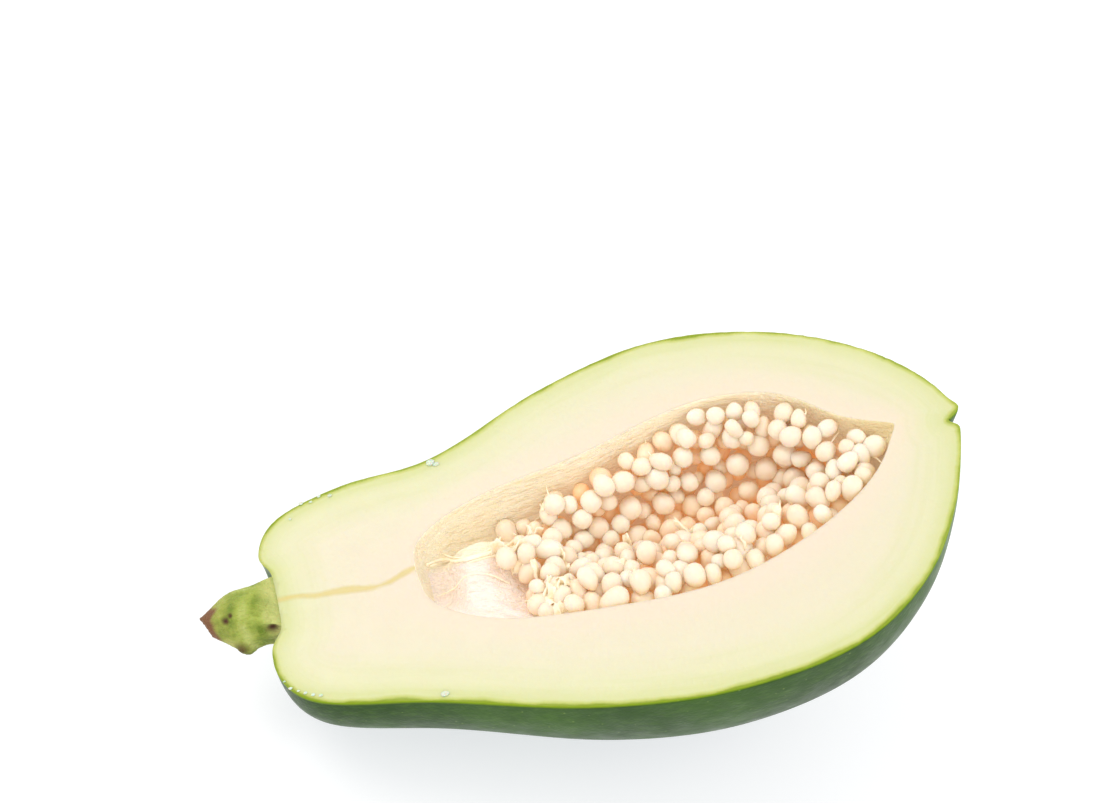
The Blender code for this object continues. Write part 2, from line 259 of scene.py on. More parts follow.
# %% Lamps
FRUIT_MIDDLE = Vector((0.0, 0.0, 0.05))


def soft_lamp(name, place, size, watts):
    """An area lamp at a place round the fruit, pointing at its middle."""
    data = bpy.data.lights.new(name, "AREA")
    data.shape = "RECTANGLE"
    data.size, data.size_y = size
    data.energy = watts
    lamp = placed(name, data)
    lamp.location = place
    lamp.rotation_euler = (FRUIT_MIDDLE - Vector(place)).to_track_quat("-Z", "Y").to_euler()


soft_lamp("key", (-0.55, 0.35, 0.95), (0.7, 0.5), 3.4)
soft_lamp("fill", (0.75, -0.35, 0.8), (0.7, 0.7), 1.8)
soft_lamp("front", (-0.1, -1.1, 0.7), (0.9, 0.5), 1.6)
world = bpy.data.worlds.new("white_room")
world.use_nodes = True
background = world.node_tree.nodes["Background"]
background.inputs["Color"].default_value = (1.0, 1.0, 1.0, 1.0)
background.inputs["Strength"].default_value = 0.92
bpy.context.scene.world = world
bpy.context.scene.view_settings.view_transform = "Standard"
print("camera, floor and lamps are in place")

# %% [markdown]
# ## The fruit
# A papaya half is one solid: skin outside, a flat cut, and a hollow. The model has that shape in coarse
# facets, so a copy of it is refined instead of being drawn again. Its cut face is made of long slivers,
# which would crumple when smoothed. They are taken out, and the rim of the skin and the rim of the hollow,
# which are then open loops, are bridged and split into even rings.

# %% Clean quads
SKIN, CUT, LINING = 0, 1, 2
FACE_RINGS = 8


def connected(start):
    """All faces that can be reached from one face."""
    found = {start}
    todo = [start]
    while todo:
        for edge in todo.pop().edges:
            for face in edge.link_faces:
                if face not in found:
                    found.add(face)
                    todo.append(face)
    return found


bmesh.ops.transform(fruit, matrix=to_face, verts=fruit.verts)
slivers = [face for face in fruit.faces if all(abs(vert.co.z) < ON_FACE for vert in face.verts)]
bmesh.ops.delete(fruit, geom=slivers, context="FACES")
bmesh.ops.join_triangles(fruit, faces=fruit.faces, angle_face_threshold=math.radians(40),
                         angle_shape_threshold=math.radians(60))
deepest = min(fruit.faces, key=lambda face: face.calc_center_median().z)
outside = connected(deepest)
for face in fruit.faces:
    face.material_index = SKIN if face in outside else LINING
rims = [edge for edge in fruit.edges if edge.is_boundary]
for edge in rims:
    for vert in edge.verts:
        vert.co.z = 0.0
bridge = bmesh.ops.bridge_loops(fruit, edges=rims)
for face in bridge["faces"]:
    face.material_index = CUT
bmesh.ops.subdivide_edges(fruit, edges=bridge["edges"], cuts=FACE_RINGS - 1, use_grid_fill=True)
bmesh.ops.recalc_face_normals(fruit, faces=fruit.faces)
crease = fruit.edges.layers.float.new("crease_edge")
CREASES = {frozenset((SKIN, CUT)): 1.0, frozenset((CUT, LINING)): 0.75}
for edge in fruit.edges:
    edge[crease] = CREASES.get(frozenset(face.material_index for face in edge.link_faces), 0.0)
others = sum(len(face.verts) != 4 for face in fruit.faces)
print("fruit:", len(fruit.faces), "faces before smoothing,", others, "not quads")

# %% [markdown]
# Subdivision then rounds the skin and the hollow. The cut's outer rim stays sharp, because a knife made it,
# and the rim of the hollow is a little softer. The knife and the fruit leave small marks that are moved
# into the mesh: the dimple at the blossom end with its rounded lip, tiny nicks where the skin tore, a faint
# wave over the cut, and a rib of dried fibre along the hollow's far wall. At the neck a film of pulp still
# covers the hollow, so its floor is raised there. The spot that the fruit rests on is pressed flat again.

# %% Round it
def subdivided(bm, levels):
    """The bmesh after a Subdivision Surface modifier, as a new bmesh; the old one is freed."""
    mesh = as_mesh("rough", bm)
    rough = placed("rough", mesh)
    smooth = rough.modifiers.new("smooth", "SUBSURF")
    smooth.levels = levels
    smooth.render_levels = levels
    depsgraph = bpy.context.evaluated_depsgraph_get()
    fine = bpy.data.meshes.new_from_object(rough.evaluated_get(depsgraph))
    result = bmesh.new()
    result.from_mesh(fine)
    bpy.data.objects.remove(rough)
    bpy.data.meshes.remove(mesh)
    bpy.data.meshes.remove(fine)
    return result


def wall_of(bm, material):
    """A search tree of the faces that have one material."""
    faces = [face for face in bm.faces if face.material_index == material]
    place = {}
    corners = [[place.setdefault(vert, len(place)) for vert in face.verts] for face in faces]
    return BVHTree.FromPolygons([vert.co for vert in place], corners)


fruit = subdivided(fruit, 2)
lining_wall = wall_of(fruit, LINING)
print("fruit:", len(fruit.faces), "faces after smoothing")

# %% Places in the hollow
HOLLOW_START, HOLLOW_END = -55 * MM, 78 * MM  # where the hollow's section can be felt out from inside
JUST_BELOW = -0.5 * MM  # a height just under the cut


def hollow_section(x):
    """The middle, half width and depth of the hollow at one place along it, felt out from inside."""
    inside = Vector((x, 0.0, JUST_BELOW))
    far = lining_wall.ray_cast(inside, Vector((0, 1, 0)))[0]
    near = lining_wall.ray_cast(inside, Vector((0, -1, 0)))[0]
    middle = (far.y + near.y) / 2
    floor = lining_wall.ray_cast(Vector((x, middle, JUST_BELOW)), Vector((0, 0, -1)))[0]
    return middle, (far.y - near.y) / 2, -floor.z


def round_the_wall(point):
    """Degrees round the hollow's wall: 0 at the far rim, 90 at the bottom, 180 at the near rim."""
    middle, half_width, depth = hollow_section(point.x)
    return math.degrees(math.atan2(max(-point.z, 0.0) / depth, (point.y - middle) / half_width))


print("the hollow is", round(2000 * hollow_section(0.0)[1]), "mm wide at its middle")

# %% Small marks
TIP_AREA = 85 * MM, 96 * MM  # the dimple starts at the first and is whole from the second
DIMPLE = {"side": 0.8 * MM, "width": 1.7 * MM, "depth": 3.2 * MM, "reach": 9.0 * MM}
LIP = {"side": 5.0 * MM, "width": 2.2 * MM, "height": 0.9 * MM}
NICK = {"depth": 0.45 * MM, "coarse": 420, "fine": 1100, "worst_from": 70 * MM}  # coarse, fine: per metre
WAVE = {"height": 0.12 * MM, "per_metre": 45}
RIB = {"height": 1.1 * MM, "end": -12 * MM, "fade": 6 * MM, "per_metre": 60,
       "around": 44, "sway": 4, "width": 3.5}  # the last three in degrees round the wall
FILM_START, FILM_END = -12 * MM, -40 * MM  # along the hollow; the film is whole beyond the second
FILM_NECK = -56 * MM, -43 * MM  # and it fades out again between these, at the neck
FILM_RISE = 0.76  # share of the depth that the film takes away
FILM_RIPPLE = {"share": 0.08, "per_metre": 160}
TORN_FROM, TORN_TO = 46, 66  # degrees round the wall, from bare wall to film


def tip_mark(x, y, z):
    """How far the dimple and its lip move a point along the fruit."""
    near_cut = math.exp(z / DIMPLE["reach"])
    dent = -DIMPLE["depth"] * bump_at(y, DIMPLE["side"], DIMPLE["width"]) * near_cut
    dent += LIP["height"] * bump_at(y, LIP["side"], LIP["width"]) * near_cut
    return dent * min(1.0, (x - TIP_AREA[0]) / (TIP_AREA[1] - TIP_AREA[0]))


def nick(place):
    """How far a torn edge of skin moves inward."""
    inward = Vector((-place.x / 6, -place.y, 0)).normalized()
    torn = max(0.0, noise.noise(place * NICK["coarse"])) + 0.6 * max(0.0, noise.noise(place * NICK["fine"]))
    return inward * NICK["depth"] * torn * (0.35 + 0.65 * clamped(place.x / NICK["worst_from"]))


def wall_marks(place, normal):
    """How far the rib and the film move a point of the wall."""
    around = round_the_wall(place)
    middle = RIB["around"] + RIB["sway"] * noise.noise(Vector((place.x * RIB["per_metre"], 0, 0)))
    rib = RIB["height"] * bump_at(around, middle, RIB["width"])
    rib *= min(1.0, (place.x - FILM_NECK[0]) / RIB["fade"]) * min(1.0, (RIB["end"] - place.x) / RIB["fade"])
    film = smooth_share(around, TORN_FROM, TORN_TO) * smooth_share(place.x, FILM_START, FILM_END)
    film *= smooth_share(place.x, *FILM_NECK)
    ripple = FILM_RIPPLE["share"] * noise.noise(place * FILM_RIPPLE["per_metre"])
    return normal * rib - Vector((0, 0, place.z * film * (FILM_RISE + ripple)))


def shape_small_marks(bm):
    """Moves every vertex by the marks that lie on its part of the surface."""
    materials = {vert: {face.material_index for face in vert.link_faces} for vert in bm.verts}
    moves = {}
    for vert in bm.verts:
        x, y, z = vert.co
        move = Vector((tip_mark(x, y, z) if x > TIP_AREA[0] else 0.0, 0, 0))
        if {SKIN, CUT} <= materials[vert]:
            move += nick(vert.co)
        if CUT in materials[vert]:
            move.z += WAVE["height"] * (noise.noise(vert.co * WAVE["per_metre"]) - 0.4)
        if materials[vert] == {LINING} and HOLLOW_START < x < RIB["end"]:
            move += wall_marks(vert.co, vert.normal)
        moves[vert] = move
    for vert, move in moves.items():
        vert.co += move


def press_flat(bm, ground):
    """Nothing of the tipped fruit may reach below the surface that it stands on."""
    up = turn.transposed() @ Vector((0, 0, 1))
    for vert in bm.verts:
        height = (from_face @ vert.co).z
        if height < ground:
            vert.co += up * (ground - height)


shape_small_marks(fruit)
press_flat(fruit, cad_box[0].z)
shaped_lining = wall_of(fruit, LINING)
print("fruit:", len(fruit.faces), "faces")

# %% [markdown]
# Flesh changes with its distance from the skin, from green through cream to a faint pink at the hollow. So
# each point of the mesh gets that distance as an attribute, in millimetres, which the materials can read.
# So do the distance to the hollow's wall, the depth under the cut and the place round the wall.

# %% Measure the depth of the flesh
def add_measure(bm, name, measure):
    """Keeps measure(vert) as an attribute of the bmesh's vertices."""
    layer = bm.verts.layers.float.new(name)
    for vert in bm.verts:
        vert[layer] = measure(vert)


skin_wall = wall_of(fruit, SKIN)
STALK_ROOT = Vector((-100, 2.5, 0)) * MM
ROOT_REACH = 8.5 * MM
ROOT_DEPTH = 2.6  # mm; where the stalk runs in, the flesh by the skin is coloured as at this depth


def depth_under_skin(vert):
    """The distance to the skin in millimetres, raised where the stalk runs into the flesh."""
    depth = skin_wall.find_nearest(vert.co)[3] / MM
    at_stalk = bump_at((vert.co - STALK_ROOT).length, 0.0, ROOT_REACH) if vert.co.z > -1 * MM else 0.0
    return depth + (ROOT_DEPTH - min(depth, ROOT_DEPTH)) * min(1.0, 1.6 * at_stalk)


def around_if_hollow(vert):
    """Degrees round the hollow's wall; 45 past its narrow ends, where the section can't be felt."""
    in_hollow = any(face.material_index == LINING for face in vert.link_faces)
    return round_the_wall(vert.co) if in_hollow and HOLLOW_START < vert.co.x < HOLLOW_END else 45.0


add_measure(fruit, "skin_depth", depth_under_skin)
add_measure(fruit, "hollow_gap", lambda vert: shaped_lining.find_nearest(vert.co)[3] / MM)
add_measure(fruit, "cut_gap", lambda vert: -vert.co.z / MM)
add_measure(fruit, "around", around_if_hollow)
print("measures:", [layer.name for layer in fruit.verts.layers.float])

# %% [markdown]
# Each bmesh becomes a piece in one way: it is turned from the cut face's axes back to the model's, shaded
# smooth and given its materials, and the model's nodes that it stands for are hidden.

# %% A piece of the fruit
def made_piece(name, bm, materials, nodes):
    """A finished bmesh as a piece of the fruit, which stands for some of the model's nodes."""
    bm.transform(from_face)
    for face in bm.faces:
        face.smooth = True
    piece = placed(name, as_mesh(name, bm))
    for material in materials:
        piece.data.materials.append(material)
    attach(piece, "root")
    if nodes:
        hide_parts(*nodes)

# %% [markdown]
# ## Shared effects
# Two effects turn up in most of the materials, so each is a node group. Plant tissue grows lengthwise,
# which shows as streaks in the skin, the flesh and the hollow. And every cut or wet surface has a fine
# grain of cells that breaks up its highlights.

# %% Node groups
def new_group(name, numbers, results):
    """An empty shader group that takes a Vector and named numbers, and gives named numbers."""
    group = bpy.data.node_groups.new(name, "ShaderNodeTree")
    group.interface.new_socket(name="Vector", in_out="INPUT", socket_type="NodeSocketVector")
    for label, value in numbers.items():
        socket = group.interface.new_socket(name=label, in_out="INPUT", socket_type="NodeSocketFloat")
        socket.default_value = value
    for label in results:
        group.interface.new_socket(name=label, in_out="OUTPUT", socket_type="NodeSocketFloat")
    return group, group.nodes.new("NodeGroupInput").outputs, group.nodes.new("NodeGroupOutput").inputs


def lengthwise_streaks():
    """Soft streaks along X of its vector: 0 to 1, with Fineness in streaks per metre."""
    group, given, result = new_group("lengthwise_streaks", {"Fineness": 300.0, "Length": 8.0}, ["Streaks"])
    shrink = calculated(group, "DIVIDE", 1.0, given["Length"])
    ratio = add_node(group, "ShaderNodeCombineXYZ", {"X": shrink, "Y": 1.0, "Z": 1.0})
    drawn_out = add_node(group, "ShaderNodeVectorMath", {0: given["Vector"], 1: ratio.outputs[0]},
                         operation="MULTIPLY")
    pattern = add_node(group, "ShaderNodeTexNoise", {
        "Vector": drawn_out.outputs[0], "Scale": given["Fineness"], "Detail": 4.0, "Roughness": 0.6})
    group.links.new(between(group, pattern.outputs["Fac"], 0.3, 0.7), result["Streaks"])
    return group


def moist_grain():
    """Fine cells: a bump height, and a roughness that wanders between two values."""
    numbers = {"Fineness": 900.0, "Shiny": 0.25, "Dull": 0.5}
    group, given, result = new_group("moist_grain", numbers, ["Height", "Roughness"])
    cells = add_node(group, "ShaderNodeTexVoronoi", {"Vector": given["Vector"], "Scale": given["Fineness"]},
                     feature="SMOOTH_F1")
    coarse = calculated(group, "DIVIDE", given["Fineness"], 6.0)
    patches = cloudy(group, given["Vector"], coarse, 5.0)
    group.links.new(calculated(group, "ADD", cells.outputs["Distance"], patches), result["Height"])
    wander = between(group, patches, 0.3, 0.7, given["Shiny"], given["Dull"])
    group.links.new(wander, result["Roughness"])
    return group


STREAKS = lengthwise_streaks()
GRAIN = moist_grain()


def streaks_of(tree, place, fineness, length):
    """The streaks group placed in a material."""
    inputs = {"Vector": place, "Fineness": fineness, "Length": length}
    return add_node(tree, "ShaderNodeGroup", inputs, node_tree=STREAKS).outputs["Streaks"]


def grained(tree, shader, place, fineness, shiny, dull):
    """The grain group placed in a material: its roughness goes to the shader, its height comes back."""
    inputs = {"Vector": place, "Fineness": fineness, "Shiny": shiny, "Dull": dull}
    grain = add_node(tree, "ShaderNodeGroup", inputs, node_tree=GRAIN)
    feed(tree, shader, Roughness=grain.outputs["Roughness"])
    return grain.outputs["Height"]


def face_place(tree):
    """Object coordinates, turned so that X runs along the cut face and Z out of it."""
    turned = add_node(tree, "ShaderNodeMapping", {
        "Vector": add_node(tree, "ShaderNodeTexCoord").outputs["Object"], "Location": -face_origin,
        "Rotation": turn.transposed().to_euler()})
    return turned.outputs["Vector"]


def attribute(tree, name):
    """A number that is kept on the mesh."""
    return add_node(tree, "ShaderNodeAttribute", attribute_name=name).outputs["Fac"]


def bumped(tree, shader, height, distance):
    """Feeds a bump height to the shader's normal."""
    bump = add_node(tree, "ShaderNodeBump", {"Height": height, "Distance": distance, "Strength": 1.0})
    feed(tree, shader, Normal=bump.outputs["Normal"])


print("groups:", STREAKS.name, GRAIN.name)

# %% [markdown]
# ## Skin, flesh and lining
# The skin of an unripe papaya is a waxy dark green with lighter, yellower patches and streaks along the
# fruit. The far side is painted a lighter green, as painted light. The skin is glossy, so it gets a thin
# clear coat over a slightly rough base. Tiny pale pores are scattered in it.

# %% Skin
def make_skin():
    """Green skin, by patches, streaks, pores and the rim of the cut, with a lighter far side as painted
    light.
    """
    material, tree, shader = new_material(
        "green_skin", IOR=1.4, Specular_IOR_Level=0.16, Coat_Weight=0.06, Coat_Roughness=0.25,
        Subsurface_Weight=0.06, Subsurface_Scale=0.002)
    place = face_place(tree)
    streaks = streaks_of(tree, place, 90.0, 6.0)
    greens = colour_steps(tree, cloudy(tree, place, 14.0, 3.0), [
        (0.30, tone(28, 54, 6)), (0.48, tone(44, 78, 8)), (0.62, tone(60, 98, 12)),
        (0.78, tone(86, 124, 20))])
    # painted light: the far side is mixed towards a lighter green, as if lit more
    far_side_light_share = between(tree, axes_of(tree, place)["Y"], -5 * MM, 45 * MM, 0.0, 0.45)
    painted_light_far_side = mixed(tree, far_side_light_share, greens, tone(104, 146, 14))
    streaked = mixed(tree, between(tree, streaks, 0.0, 1.0, 0.0, 0.35), painted_light_far_side, tone(34, 66, 16))
    fine = streaks_of(tree, place, 700.0, 3.0)
    fine_greens = mixed(tree, between(tree, fine, 0.4, 1.0, 0.0, 0.18), streaked, tone(100, 140, 40))
    pores = add_node(tree, "ShaderNodeTexVoronoi", {"Vector": place, "Scale": 260.0}).outputs["Distance"]
    speckled = mixed(tree, between(tree, pores, 0.11, 0.05, 0.0, 0.35), fine_greens, tone(150, 172, 90))
    at_cut = between(tree, attribute(tree, "cut_gap"), 0.2, 1.4, 0.85, 0.0)
    feed(tree, shader, Base_Color=mixed(tree, at_cut, speckled, tone(150, 178, 30)))
    bumped(tree, shader, grained(tree, shader, place, 1100.0, 0.3, 0.46), 0.06 * MM)
    return material

# %% [markdown]
# The cut flesh is pale, juicy and a little translucent, so light scatters in it. Its colours follow the
# depth under the skin. The stalk's strand runs on into it as a yellowish line down the neck, which wanders
# a little; a curve gives its side at each place along the neck.

# %% Flesh
STRAND = [(-101, 2.4), (-93, 2.9), (-86, 1.2), (-77, 0.2), (-68, -1.3), (-60, 0.6), (-53, 2.2)]  # mm
STRAND_SPAN = 5.0  # mm, the curve runs from minus this to plus this


def strand_gap(tree, place):
    """How far a point of the cut is from the strand, in metres."""
    parts = axes_of(tree, place)
    along = between(tree, parts["X"], STRAND[0][0] * MM, STRAND[-1][0] * MM)
    curve = add_node(tree, "ShaderNodeFloatCurve", {"Value": along})
    points = curve.mapping.curves[0].points
    for _ in STRAND[2:]:
        points.new(0.5, 0.5)
    reach = STRAND[-1][0] - STRAND[0][0]
    for point, (x, y) in zip(points, STRAND):
        point.location = ((x - STRAND[0][0]) / reach, 0.5 + y / (2 * STRAND_SPAN))
    curve.mapping.update()
    line = between(tree, curve.outputs["Value"], 0.0, 1.0, -STRAND_SPAN * MM, STRAND_SPAN * MM)
    return calculated(tree, "ABSOLUTE", calculated(tree, "SUBTRACT", parts["Y"], line))


def make_flesh():
    """Cut flesh, coloured by its depth under the skin."""
    material, tree, shader = new_material(
        "cut_flesh", IOR=1.38, Specular_IOR_Level=0.4, Subsurface_Weight=0.35, Subsurface_Scale=0.004,
        Subsurface_Radius=(1.0, 0.75, 0.4))
    place = face_place(tree)
    depth = attribute(tree, "skin_depth")
    blotch = cloudy(tree, place, 70.0, 6.0)
    ragged = calculated(tree, "ADD", depth, between(tree, blotch, 0.3, 0.7, -0.6, 0.6))
    colours = colour_steps(tree, between(tree, ragged, 0.0, 40.0), [
        (0.006, tone(136, 156, 34)), (0.020, tone(188, 195, 104)), (0.042, tone(210, 212, 156)),
        (0.15, tone(220, 218, 177)), (0.38, tone(226, 218, 190)), (0.8, tone(229, 216, 193))])
    x = axes_of(tree, place)["X"]
    depth_metres = calculated(tree, "MULTIPLY", depth, MM)
    followed = add_node(tree, "ShaderNodeCombineXYZ", {"X": x, "Y": depth_metres}).outputs[0]
    streaks = streaks_of(tree, followed, 260.0, 14.0)
    green_band = calculated(tree, "MULTIPLY", between(tree, streaks, 0.45, 1.0),
                            between(tree, depth, 3.0, 16.0, 0.34, 0.03))
    streaked = mixed(tree, green_band, colours, tone(196, 204, 118))
    blush = between(tree, attribute(tree, "hollow_gap"), 0.0, 9.0, 0.55, 0.0)
    blushed = mixed(tree, blush, streaked, tone(236, 216, 196))
    wander = between(tree, blotch, 0.3, 0.7, -0.6 * MM, 0.6 * MM)
    wobble = calculated(tree, "ADD", strand_gap(tree, place), wander)
    in_neck = between(tree, x, -50 * MM, -56 * MM)
    strand = calculated(tree, "MULTIPLY", between(tree, wobble, 1.3 * MM, 0.3 * MM, 0.0, 0.75), in_neck)
    feed(tree, shader, Base_Color=mixed(tree, strand, blushed, tone(216, 196, 120)))
    groove = calculated(tree, "MULTIPLY", strand, 2.0)
    grain = grained(tree, shader, place, 850.0, 0.3, 0.5)
    bumped(tree, shader, calculated(tree, "SUBTRACT", grain, groove), 0.12 * MM)
    return material

# %% [markdown]
# The hollow's wall is lined with soft combed fibres, yellower towards the blossom end. The combing is a
# stack of lengthwise streaks, coarse for its colour and fine for its relief. The film at the neck is paler
# and pinker. The bare wall is painted warmer and darker deeper under the cut, as painted shade, and the
# whole lining glows faintly, as painted light.

# %% Lining
def make_lining():
    """Combed fibres, and the film over the neck, with painted shade deep in the hollow and a faint painted
    glow.
    """
    # the emission is a faint painted glow, which lightens the hollow's shade
    material, tree, shader = new_material(
        "hollow_lining", Emission_Color=tone(255, 230, 200), Emission_Strength=0.17, IOR=1.38,
        Specular_IOR_Level=0.45, Subsurface_Weight=0.3, Subsurface_Scale=0.004,
        Subsurface_Radius=(1.0, 0.7, 0.35))
    place = face_place(tree)
    parts = axes_of(tree, place)
    broad = streaks_of(tree, place, 240.0, 5.0)
    fine = streaks_of(tree, place, 900.0, 6.0)
    base = mixed(tree, between(tree, broad, 0.0, 1.0, 0.0, 0.7), tone(252, 244, 216), tone(240, 226, 186))
    combed = mixed(tree, between(tree, fine, 0.3, 1.0, 0.0, 0.5), base, tone(255, 250, 232))
    around = calculated(tree, "ADD", attribute(tree, "around"), between(tree, broad, 0.0, 1.0, -5.0, 5.0))
    film = calculated(tree, "MULTIPLY", between(tree, around, 46.0, 58.0),
                      between(tree, parts["X"], -18 * MM, -30 * MM))
    combed = mixed(tree, calculated(tree, "MULTIPLY", film, 0.95), combed, tone(255, 238, 228))
    near_tip = between(tree, parts["X"], 50 * MM, 80 * MM, 0.0, 0.6)
    tip_end = mixed(tree, near_tip, combed, tone(232, 212, 136))
    bare = calculated(tree, "SUBTRACT", 1.0, film)
    # painted shade: the bare wall turns warmer and darker deeper under the cut
    depth = calculated(tree, "MULTIPLY", between(tree, parts["Z"], -6 * MM, -26 * MM, 0.0, 0.5), bare)
    feed(tree, shader, Base_Color=mixed(tree, depth, tip_end, tone(242, 204, 154)))
    grained(tree, shader, place, 900.0, 0.25, 0.45)
    relief = calculated(tree, "ADD", calculated(tree, "MULTIPLY", broad, 2.0), fine)
    bumped(tree, shader, relief, 0.7 * MM)
    return material


green_skin, cut_flesh, hollow_lining = make_skin(), make_flesh(), make_lining()
made_piece("papaya_half", fruit, [green_skin, cut_flesh, hollow_lining], ["fruit_half"])
print("the fruit is dressed")

# %% [markdown]
# ## Seeds
# The seeds of an unripe papaya are soft, wet, ivory eggs that hang on the hollow's wall by their narrow
# ends, packed side by side and on top of each other. One seed shape of a few dozen faces serves for all of
# them: a cube's faces are divided and blown up to a ball, which has no poles, then drawn out into an egg.
# Each copy is given its own size, lean and dents. Its colour is painted warmer and darker on the seed's
# underside, facing into the heap, and with its depth in the heap, as painted shade, and changes a little
# from seed to seed, so three attributes are kept: how far a point is on its seed's underside, how buried its
# seed is, and the seed's own tint.

# %% One seed
SEED_CUTS = 3
NARROWING = 0.15
DENTS = {"share": 0.09, "per_seed": 1.1}


def make_egg():
    """A ball of quads, drawn out to an egg with its round end up."""
    bm = bmesh.new()
    bmesh.ops.create_cube(bm, size=2.0)
    bmesh.ops.subdivide_edges(bm, edges=bm.edges, cuts=SEED_CUTS, use_grid_fill=True)
    for vert in bm.verts:
        vert.co.normalize()
        breadth = 1.0 + NARROWING * vert.co.z
        vert.co.x *= breadth
        vert.co.y *= breadth
    return as_mesh("egg", bm)


EGG = make_egg()


def anywhere():
    """A random place in a noise, so that no two seeds or scraps are alike."""
    return Vector([chance.uniform(-50, 50) for _ in range(3)])


def scattered(spread):
    """A random step in any direction."""
    return Vector([chance.gauss(0, spread) for _ in range(3)])


def heap_outward(point):
    """The direction out of the heap: up out of the cut, and a little off the wall."""
    off_wall = (point - shaped_lining.find_nearest(point)[0]).normalized()
    return (0.35 * off_wall + Vector((0, -0.25, 1))).normalized()


def add_seed(bm, centre, axis, length, width, buried_shade):
    """One seed in the bmesh, its round end along axis."""
    outward = heap_outward(centre)
    before = len(bm.verts)
    bm.from_mesh(EGG)
    layers = bm.verts.layers.float
    under, deep, tint = [layers.get(name) or layers.new(name) for name in ("under", "buried_shade", "tint")]
    bm.verts.ensure_lookup_table()
    lean = Vector((0, 0, 1)).rotation_difference(axis)
    spin = Quaternion((0, 0, 1), chance.uniform(0, 2 * math.pi))
    size = Vector((width * chance.uniform(0.92, 1.04), width * chance.uniform(0.92, 1.04), length)) / 2
    origin = anywhere()
    own_tint = chance.random()
    for vert in bm.verts[before:]:
        # the seed's share of painted shade and painted glow, by its depth in the heap
        vert[deep] = buried_shade
        vert[tint] = own_tint
        dent = 1 + DENTS["share"] * noise.noise(vert.co * DENTS["per_seed"] + origin)
        shaped = Vector(part * half for part, half in zip(vert.co, size)) * dent
        offset = lean @ (spin @ shaped)
        # the mask of painted shade on the side of the seed that faces into the heap
        vert[under] = (1 - offset.normalized().dot(outward)) / 2
        vert.co = centre + offset


def long_axis(points):
    """The middle of a cloud of points and its longest direction."""
    cloud = np.array([list(point) for point in points])
    middle = cloud.mean(axis=0)
    spread = np.linalg.eigh(np.cov((cloud - middle).T))[1]
    return Vector(middle), Vector(spread[:, 2])

# %% [markdown]
# The model has a few dozen single seeds in rows, and three beds for the rest. The single seeds keep their
# places, as pieces of their own. The beds are filled with more seeds: the near bank is heaped almost up to
# the cut and the far bank is thin, with a deep fold between. Seeds are thrown at random into that space,
# only where there is room, and are then pushed apart until they touch without crowding, while the single
# ones stay put.

# %% Where the single seeds are
seed_nodes = sorted(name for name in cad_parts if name.startswith("seed_") and name[5:].isdigit())
single = []
for name in seed_nodes:
    loose = merged_copy(name)
    centre, axis = long_axis(to_face @ vert.co for vert in loose.verts)
    loose.free()
    inward = centre - shaped_lining.find_nearest(centre)[0]
    single.append((name, centre, axis if axis.dot(inward) > 0 else -axis))
print(len(single), "single seeds")

# %% The heap's shape
HEAP_START = [(0, -6), (20, -14), (30, -22), (45, -30), (60, -34), (100, -33), (150, -29), (180, -24)]
HEAP_END = [(0, 64), (20, 70), (35, 75), (90, 77), (150, 75), (180, 70)]  # degrees round the wall, mm along
BARE_STRIP = [(-14, 24), (1, 12), (13, 15), (21, 13), (30, 0), (64, 0), (69, 15), (76, 34)]  # mm, degrees
HEAP_TOP = [(-1.0, 0.08), (-0.55, 0.13), (-0.3, 0.22), (-0.05, 0.48), (0.1, 0.64)]  # side, share of depth
BANK = 11.5 * MM  # thickness of the far bank, to the middles of its top seeds
BURIAL = 9.0 * MM  # seeds are thrown down to this far below the heap's surface
START_FRINGE = 0.35, 14 * MM  # the bank's share at the heap's start, and the length that adds a whole one
END_FRINGE = 0.5, 9 * MM


def read_off(table, place):
    """A value between the points of a short table."""
    return float(np.interp(place, [row[0] for row in table], [row[1] for row in table]))


def burial(point):
    """How far a point is below the heap's surface; negative outside the heap."""
    middle, half_width, depth = hollow_section(point.x)
    side = (point.y - middle) / half_width
    around = math.degrees(math.atan2(max(-point.z, 0.0) / depth, side))
    start, end = read_off(HEAP_START, around) * MM, read_off(HEAP_END, around) * MM
    if not start < point.x < end or around < read_off(BARE_STRIP, point.x / MM):
        return -1.0
    from_wall = shaped_lining.find_nearest(point)[3]
    fringe = min(1.0, (point.x - start) / START_FRINGE[1] + START_FRINGE[0],
                 (end - point.x) / END_FRINGE[1] + END_FRINGE[0])
    under_bank = BANK * fringe - from_wall
    under_top = -point.z - read_off(HEAP_TOP, side) * depth
    if fringe < 1.0:
        under_top = min(under_top, 1.7 * BANK * fringe - from_wall)
    return max(under_bank, under_top)

# %% Throw and settle the others
THROWS = 26000
THROW_LOW = Vector((-36, -30, -34)) * MM
THROW_HIGH = Vector((78, 30, -2)) * MM
SMALLEST, USUAL, LARGEST = 2.3 * MM, 3.1 * MM, 3.8 * MM
SINGLE_RADIUS = 3.4 * MM
ROOM = 0.74  # a seed is thrown no nearer to others than this share of their radii
TOUCHING = 0.84  # then pushed out to this share: soft seeds press into each other a little
PUSH = 0.35  # share of the lack of room that one step makes good
SETTLING_STEPS = 60


def inside_hollow(point, radius):
    """True where the hollow's section can be felt and a seed has room beside the wall."""
    spot, normal, _, distance = shaped_lining.find_nearest(point)
    felt = lining_wall.ray_cast(Vector((point.x, 0.0, JUST_BELOW)), Vector((0, 1, 0)))[0]
    return felt is not None and (point - spot).dot(normal) > 0 and distance > 0.75 * radius


